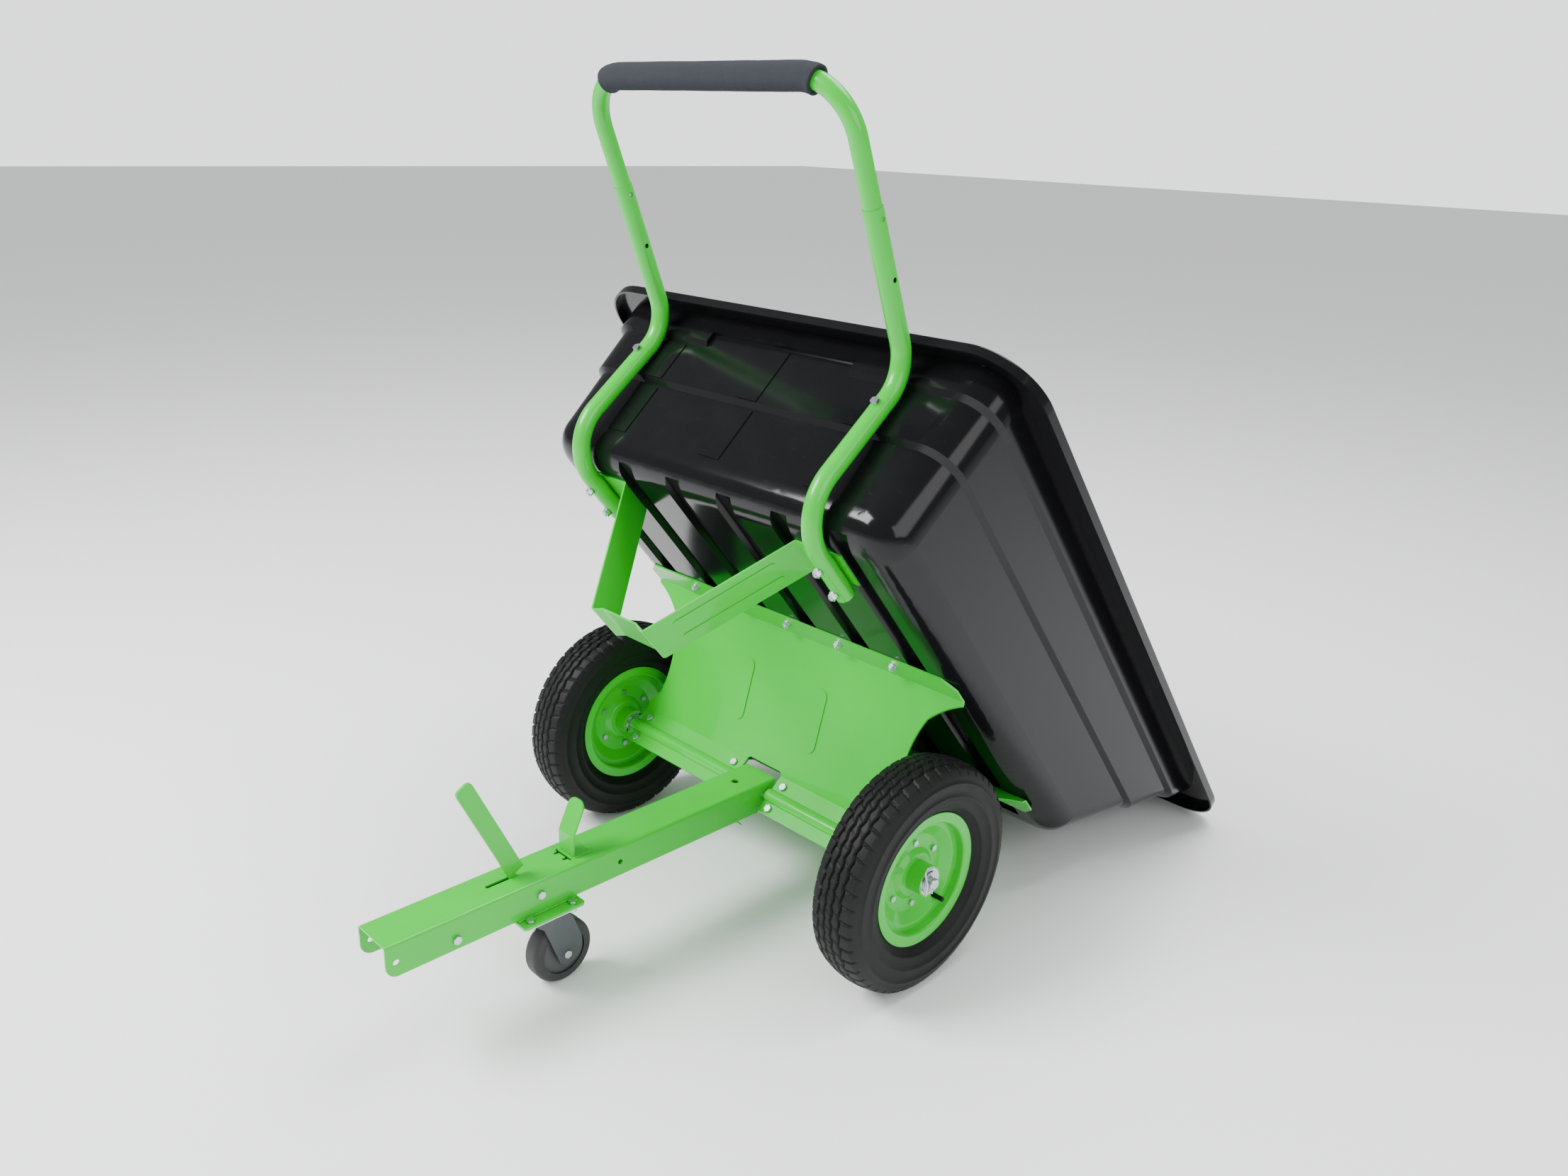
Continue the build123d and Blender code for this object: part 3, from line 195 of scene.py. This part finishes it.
finishes = {
    "greenPaint": makeFinish("greenPaint", (0.012, 0.50, 0.018), 0.32, coat=0.4, coatRoughness=0.06,
                             bump=0.1, specular=0.3, tone=0.05, cloudScale=9, grainScale=420,
                             scuffs=0.05, dust=0.02, grain=0.5, dustColor=(0.35, 0.6, 0.33)),
    "tubPlastic": makeFinish("tubPlastic", (0.005, 0.005, 0.006), 0.13, bump=0.1, specular=0.26, tone=0.06,
                             cloudScale=5, grainScale=900, scuffs=0.08, dust=0.012, grain=0.2,
                             dustColor=(0.12, 0.12, 0.125)),
    "tyreRubber": makeFinish("tyreRubber", (0.006, 0.006, 0.0065), 0.55, bump=0.35, specular=0.24, tone=0.12,
                             cloudScale=22, grainScale=1100, scuffs=0.1, dust=0.03, grain=0.8,
                             dustColor=(0.08, 0.077, 0.075)),
    "gripFoam": makeFinish("gripFoam", (0.026, 0.029, 0.036), 0.9, bump=0.5, bumpDistance=0.0012,
                           specular=0.2, tone=0.1, cloudScale=60, grainScale=1300, scuffs=0.05,
                           dust=0.06, grain=1.0, dustColor=(0.09, 0.095, 0.105)),
    "zincPlate": makeFinish("zincPlate", (0.60, 0.64, 0.69), 0.3, metallic=1.0, bump=0.1, tone=0.12,
                            cloudScale=120, grainScale=900, scuffs=0.2, dust=0.08, grain=0.6,
                            dustColor=(0.36, 0.37, 0.38)),
    "forkSteel": makeFinish("forkSteel", (0.10, 0.105, 0.115), 0.42, metallic=0.75, bump=0.18, tone=0.12,
                            cloudScale=60, grainScale=700, scuffs=0.25, dust=0.12, grain=0.6),
    "casterRubber": makeFinish("casterRubber", (0.03, 0.03, 0.032), 0.6, bump=0.25, tone=0.1, cloudScale=45,
                               grainScale=1000, scuffs=0.2, dust=0.16, grain=0.7,
                               dustColor=(0.2, 0.19, 0.18)),
    "corePlastic": makeFinish("corePlastic", (0.06, 0.06, 0.065), 0.45, bump=0.15, tone=0.1, cloudScale=50,
                              grainScale=800, scuffs=0.15, dust=0.1, grain=0.5),
    "polishedSteel": makeFinish("polishedSteel", (0.68, 0.69, 0.7), 0.16, metallic=1.0, bump=0.05, tone=0.05,
                                cloudScale=200, grainScale=900, scuffs=0.1, dust=0.02, grain=0.4),
    "sealRubber": makeFinish("sealRubber", (0.035, 0.022, 0.016), 0.5, bump=0.15, tone=0.1, cloudScale=150,
                             grainScale=1200, scuffs=0.05, dust=0.08, grain=0.5),
}
slotFinish = {"green_paint": "greenPaint", "hub_steel": "greenPaint", "tub_plastic": "tubPlastic",
              "tyre_rubber": "tyreRubber", "grip_foam": "gripFoam", "zinc": "zincPlate",
              "fork_steel": "forkSteel", "caster_core_plastic": "corePlastic", "valve_rubber": "tyreRubber",
              "seal_rubber": "sealRubber"}
nodeFinish = {"caster_tyre": "casterRubber", "left_bearing_rings": "polishedSteel",
              "right_bearing_rings": "polishedSteel", "left_bearing_balls": "polishedSteel",
              "right_bearing_balls": "polishedSteel", "left_snap_button": "polishedSteel",
              "right_snap_button": "polishedSteel"}
for subpart in frame["record"]["subparts"]:
    piece = nodes[subpart["node"]]
    finish = finishes[nodeFinish.get(subpart["node"], slotFinish[subpart["material_slot"]])]
    piece.data.materials.clear()
    piece.data.materials.append(finish)
print("finishes on the frame")


def addPiece(name, mesh, body, slot, finish, *replaced):
    bmesh.ops.recalc_face_normals(mesh, faces=mesh.faces)
    data = bpy.data.meshes.new(name)
    mesh.to_mesh(data)
    mesh.free()
    for face in data.polygons:
        face.use_smooth = True
    piece = bpy.data.objects.new(name, data)
    bpy.context.scene.collection.objects.link(piece)
    data.materials.append(finishes[finish])
    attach(piece, body)
    if replaced:
        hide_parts(*replaced)
    return piece


# ---- tyres
tyre = {"radius": 0.203, "shoulder": 0.1965, "halfTread": 0.038, "segments": 720, "treadSteps": 62,
        "grooveDepth": 0.0055, "grooveHalf": 0.0021, "grooves": (-0.0215, -0.0072, 0.0072, 0.0215),
        "zigzag": 0.0016, "pitches": 48, "sipeHalf": 0.0016, "sipeDepth": 0.0042, "cutEdge": 0.0006,
        "cutFrom": 0.1895, "cutFade": 0.004, "insideRadius": 0.1955, "insideHalf": 0.03}
# each band of blocks: how its cross cuts are shifted, leant, widened and deepened
bands = ({"shift": 0.0, "lean": 22, "width": 0.55, "depth": 0.6},
         {"shift": 0.5, "lean": 22, "width": 0.55, "depth": 0.6},
         {"shift": 0.0, "lean": 9, "width": 1.25, "depth": 1.0})


def tyreProfile():
    # (radius, offset) from one bead over the tread to the other, then back round the inside
    side = [(0.1045, 0.0294), (0.1125, 0.0295), (0.1195, 0.0298), (0.1225, 0.0335), (0.127, 0.0385),
            (0.1305, 0.0414), (0.1312, 0.0431), (0.1345, 0.0444), (0.1352, 0.0440), (0.142, 0.0470),
            (0.1495, 0.0489), (0.1502, 0.0498), (0.1535, 0.0500), (0.1542, 0.0491), (0.163, 0.0490),
            (0.1715, 0.0482), (0.1722, 0.0489), (0.1755, 0.0486), (0.1762, 0.0476), (0.182, 0.0458),
            (0.1865, 0.0438), (0.1905, 0.0418), (0.1942, 0.0396)]
    crown = ((tyre["radius"] - tyre["shoulder"]) ** 2 + tyre["halfTread"] ** 2) / 2
    crown /= tyre["radius"] - tyre["shoulder"]
    tread = []
    for n in range(tyre["treadSteps"] + 1):
        offset = tyre["halfTread"] * (1 - 2 * n / tyre["treadSteps"])
        tread.append((tyre["radius"] - crown + math.sqrt(crown ** 2 - offset ** 2), offset))
    other = [(radius, -offset) for radius, offset in reversed(side)]
    inner = [(0.1013, -0.0262), (0.1013, -0.017), (0.113, -0.020), (0.128, -0.030), (0.152, -0.043),
             (0.172, -0.040), (0.188, -0.026), (0.194, 0.0), (0.188, 0.026), (0.172, 0.040), (0.152, 0.043),
             (0.128, 0.030), (0.113, 0.020), (0.1013, 0.017), (0.1013, 0.0262)]
    return side + tread + other + inner


def cutDepth(half, away, depth):
    # full depth within half of the cut's middle, with a short slope at its edge
    return min(1, max(0, (half + tyre["cutEdge"] - away) / (2 * tyre["cutEdge"]))) * depth


def treadCut(turn, offset):
    pitch = tyre["pitches"] * turn / (2 * math.pi)
    wave = abs((pitch % 1) - 0.5) * 4 - 1
    cut = 0.0
    for n, groove in enumerate(tyre["grooves"]):
        away = abs(offset - groove - tyre["zigzag"] * wave * (1 if n % 2 else -1))
        cut = max(cut, cutDepth(tyre["grooveHalf"], away, tyre["grooveDepth"]))
    band = bands[sum(abs(offset) > groove for groove in tyre["grooves"][2:])]
    pitchLength = 2 * math.pi * tyre["radius"] / tyre["pitches"]
    near = abs(((pitch + band["shift"] + offset * band["lean"]) % 1) - 0.5) * pitchLength
    return max(cut, cutDepth(tyre["sipeHalf"] * band["width"], near, tyre["sipeDepth"] * band["depth"]))


def makeTyre():
    mesh = bmesh.new()
    ring = [mesh.verts.new((offset, 0, radius)) for radius, offset in tyreProfile()]
    for first, second in zip(ring, ring[1:] + ring[:1]):
        mesh.edges.new((first, second))
    bmesh.ops.spin(mesh, geom=mesh.verts[:] + mesh.edges[:], cent=(0, 0, 0), axis=(1, 0, 0),
                   angle=2 * math.pi, steps=tyre["segments"], use_merge=True)
    bmesh.ops.remove_doubles(mesh, verts=mesh.verts, dist=1e-5)
    for vert in mesh.verts:
        radius = math.hypot(vert.co.y, vert.co.z)
        inside = abs(vert.co.x) < tyre["insideHalf"] and radius < tyre["insideRadius"]
        if radius < tyre["cutFrom"] or inside:
            continue
        turn = math.atan2(vert.co.y, vert.co.z) % (2 * math.pi)
        fade = min(1.0, (radius - tyre["cutFrom"]) / tyre["cutFade"])
        scale = 1 - treadCut(turn, vert.co.x) * fade / radius
        vert.co.y *= scale
        vert.co.z *= scale
    return mesh


def placeTyre(mesh, name, body, node):
    low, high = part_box(node)
    bmesh.ops.translate(mesh, vec=(low + high) / 2, verts=mesh.verts)
    return addPiece(name, mesh, body, "tyre_rubber", "tyreRubber", node)


leftTread = makeTyre()
rightTread = leftTread.copy()
bmesh.ops.scale(rightTread, vec=(-1, 1, 1), verts=rightTread.verts)
placeTyre(leftTread, "leftTyre", "left_wheel", "left_tyre")
placeTyre(rightTread, "rightTyre", "right_wheel", "right_tyre")
print("tyres")

# ---- foam grip
grip = {"radius": 0.0209, "bend": 0.085, "legHalf": 0.286, "reach": 0.182, "sideEnd": 0.232,
        "wrinkle": 0.0008, "wall": 0.0058, "around": 56, "straightSteps": 300, "arcSteps": 26,
        "foldScale": 34, "foldSqueeze": 2.6, "foldFloor": 0.9, "foldMost": 1.4, "swellScale": 16,
        "swell": 0.0006, "flareFrom": 0.223, "flareOver": 0.007, "flare": 0.0008}
leg = {"cornerY": -0.6103, "cornerZ": 0.5355, "run": 0.263}  # the lower handle tube's sleeve, tub level
tipBack = math.radians(51)
slope = math.radians(17.5)


def onTub(x, y, z):
    # a place given with the tub level, on the tub as it stands tipped
    return axle + Matrix.Rotation(-tipBack, 3, "X") @ Vector((x, y, z))


sleeveEnd = onTub(0, leg["cornerY"] - leg["run"] * math.cos(slope),
                  leg["cornerZ"] + leg["run"] * math.sin(slope))
sleeveWay = Matrix.Rotation(-tipBack, 3, "X") @ Vector((0, -math.cos(slope), math.sin(slope)))
legNormal = Vector((1, 0, 0)).cross(sleeveWay)


def makeGrip():
    mesh = bmesh.new()
    across = Vector((1, 0, 0))
    straight = grip["legHalf"] - grip["bend"]
    arc = math.asin((grip["sideEnd"] - straight) / grip["bend"])
    turnCentre = sleeveEnd + sleeveWay * (grip["reach"] - grip["bend"]) - across * straight
    bmesh.ops.create_circle(mesh, segments=grip["around"], radius=grip["radius"])
    base = Matrix((across, legNormal, across.cross(legNormal))).transposed()
    turned = base @ Matrix.Rotation(math.pi / 2, 3, "Y")
    bmesh.ops.rotate(mesh, cent=(0, 0, 0), matrix=turned, verts=mesh.verts)
    bmesh.ops.translate(mesh, vec=turnCentre + sleeveWay * grip["bend"], verts=mesh.verts)
    bmesh.ops.rotate(mesh, cent=turnCentre, matrix=Matrix.Rotation(arc, 3, legNormal), verts=mesh.verts)
    first = bmesh.ops.spin(mesh, geom=mesh.verts[:] + mesh.edges[:], cent=turnCentre, axis=legNormal,
                           angle=-arc, steps=grip["arcSteps"])
    run = bmesh.ops.spin(mesh, geom=first["geom_last"], cent=turnCentre, axis=legNormal, angle=0,
                         dvec=across * (2 * straight / grip["straightSteps"]), steps=grip["straightSteps"])
    bmesh.ops.spin(mesh, geom=run["geom_last"], cent=turnCentre + across * 2 * straight, axis=legNormal,
                   angle=-arc, steps=grip["arcSteps"])
    bmesh.ops.remove_doubles(mesh, verts=mesh.verts, dist=1e-6)
    bmesh.ops.recalc_face_normals(mesh, faces=mesh.faces)
    mesh.normal_update()
    shifts = []
    for vert in mesh.verts:
        spot = vert.co * grip["foldScale"]
        spot.x *= grip["foldSqueeze"]
        fold = noise.ridged_multi_fractal(spot, 1.0, 2.0, 3, 0.9, 2.0) - grip["foldFloor"]
        swell = noise.noise(vert.co * grip["swellScale"])
        nearEnd = min(1.0, max(0.0, (abs(vert.co.x) - grip["flareFrom"]) / grip["flareOver"]))
        shift = grip["swell"] * swell + grip["flare"] * nearEnd
        shifts.append(shift - grip["wrinkle"] * min(grip["foldMost"], max(0.0, fold)))
    for vert, shift in zip(mesh.verts, shifts):
        vert.co += vert.normal * shift
    piece = addPiece("foamGrip", mesh, "handle", "grip_foam", "gripFoam", "foam_grip")
    wall = piece.modifiers.new("wall", "SOLIDIFY")
    wall.thickness = grip["wall"]
    wall.offset = -1
    return piece


makeGrip()
print("foam grip")

# ---- weld beads
weld = {"radius": 0.0026, "pitch": 0.0028, "flat": 0.72, "seed": 4, "uneven": 0.12}
# runs along the drawbar on both sides: distance from its middle, start, end and height
sideWelds = {"MountWeld": (0.0395, -0.535, -0.427, -0.0325), "HookWeld": (0.0205, -0.414, -0.387, 0.0256),
             "TailWeld": (0.0258, -0.113, -0.070, -0.0345)}
footWeld = {"half": 0.018, "y": -0.3848, "z": 0.0258}


def weldBead(name, body, start, end):
    mesh = bmesh.new()
    run = end - start
    count = max(2, int(run.length / weld["pitch"]))
    rolls = random.Random(weld["seed"] + count)
    for n in range(count + 1):
        made = bmesh.ops.create_icosphere(mesh, subdivisions=2, radius=weld["radius"])
        size = 1 + rolls.uniform(-weld["uneven"], weld["uneven"])
        bmesh.ops.scale(mesh, vec=(size, size, size * weld["flat"]), verts=made["verts"])
        bmesh.ops.translate(mesh, vec=start + run * n / count, verts=made["verts"])
    return addPiece(name, mesh, body, "green_paint", "greenPaint")


for side, label in ((1, "left"), (-1, "right")):
    for run, (out, front, back, height) in sideWelds.items():
        start, end = fromAxle(side * out, front, height), fromAxle(side * out, back, height)
        weldBead(label + run, "chassis", start, end)
weldBead("hookFootWeld", "chassis", fromAxle(-footWeld["half"], footWeld["y"], footWeld["z"]),
         fromAxle(footWeld["half"], footWeld["y"], footWeld["z"]))
print("welds")

# ---- floor, light and camera
studio = {"floorSize": 60.0, "floorColor": (0.93, 0.93, 0.935), "worldColor": (0.95, 0.96, 0.97),
          "worldStrength": 0.9, "worldSeen": 2.0, "worldMirrored": 0.3}
# each light's power, size, place and the point it faces
lights = {"keyLight": (300.0, (2.2, 1.6), (-1.6, -2.8, 3.4), (0, 0, 0.5)),
          "fillLight": (55.0, (2.4, 2.0), (3.6, -0.6, 2.2), (0, 0, 0.5)),
          "topLight": (150.0, (3.0, 2.0), (0.4, 1.4, 4.2), (0, 0.2, 0.4))}


def makeFloor():
    mesh = bmesh.new()
    bmesh.ops.create_grid(mesh, x_segments=1, y_segments=1, size=studio["floorSize"] / 2)
    data = bpy.data.meshes.new("floor")
    mesh.to_mesh(data)
    mesh.free()
    floor = bpy.data.objects.new("floor", data)
    bpy.context.scene.collection.objects.link(floor)
    material = bpy.data.materials.new("floorPaper")
    material.use_nodes = True
    shader = material.node_tree.nodes["Principled BSDF"]
    shader.inputs["Base Color"].default_value = (*studio["floorColor"], 1)
    shader.inputs["Roughness"].default_value = 0.85
    data.materials.append(material)


def makeLight(name, power, size, spot, target):
    lamp = bpy.data.lights.new(name, "AREA")
    lamp.shape = "RECTANGLE"
    lamp.energy = power
    lamp.size, lamp.size_y = size
    light = bpy.data.objects.new(name, lamp)
    light.location = spot
    light.rotation_euler = (Vector(target) - Vector(spot)).to_track_quat("-Z", "Y").to_euler()
    bpy.context.scene.collection.objects.link(light)


makeFloor()
world = bpy.data.worlds.new("studio")
bpy.context.scene.world = world
world.use_nodes = True
background = world.node_tree.nodes["Background"]
background.inputs["Color"].default_value = (*studio["worldColor"], 1)
rays = world.node_tree.nodes.new("ShaderNodeLightPath")
seen = rangeOf(world.node_tree, rays.outputs["Is Camera Ray"], 0, 1,
               studio["worldStrength"], studio["worldSeen"])
mirrored = rangeOf(world.node_tree, rays.outputs["Is Glossy Ray"], 0, 1, 0.0,
                   studio["worldMirrored"] - studio["worldStrength"])
wire(world.node_tree, mathOf(world.node_tree, "ADD", seen, mirrored), background.inputs["Strength"])
for name, (power, size, spot, target) in lights.items():
    makeLight(name, power, size, spot, target)

camera = {"place": (1.5473, -1.4695, 1.1665), "right": (0.69703, 0.71642, 0.02980),
          "up": (-0.26361, 0.21737, 0.93982), "back": (0.66683, -0.66294, 0.34037), "fieldOfView": 62.607}
lens = bpy.data.cameras.new("camera")
lens.sensor_width = 36
lens.angle = math.radians(camera["fieldOfView"])
eye = bpy.data.objects.new("camera", lens)
turn = Matrix((camera["right"], camera["up"], camera["back"])).transposed()
eye.matrix_world = Matrix.Translation(fromAxle(*camera["place"])) @ turn.to_4x4()
bpy.context.scene.collection.objects.link(eye)
bpy.context.scene.camera = eye
print("studio")
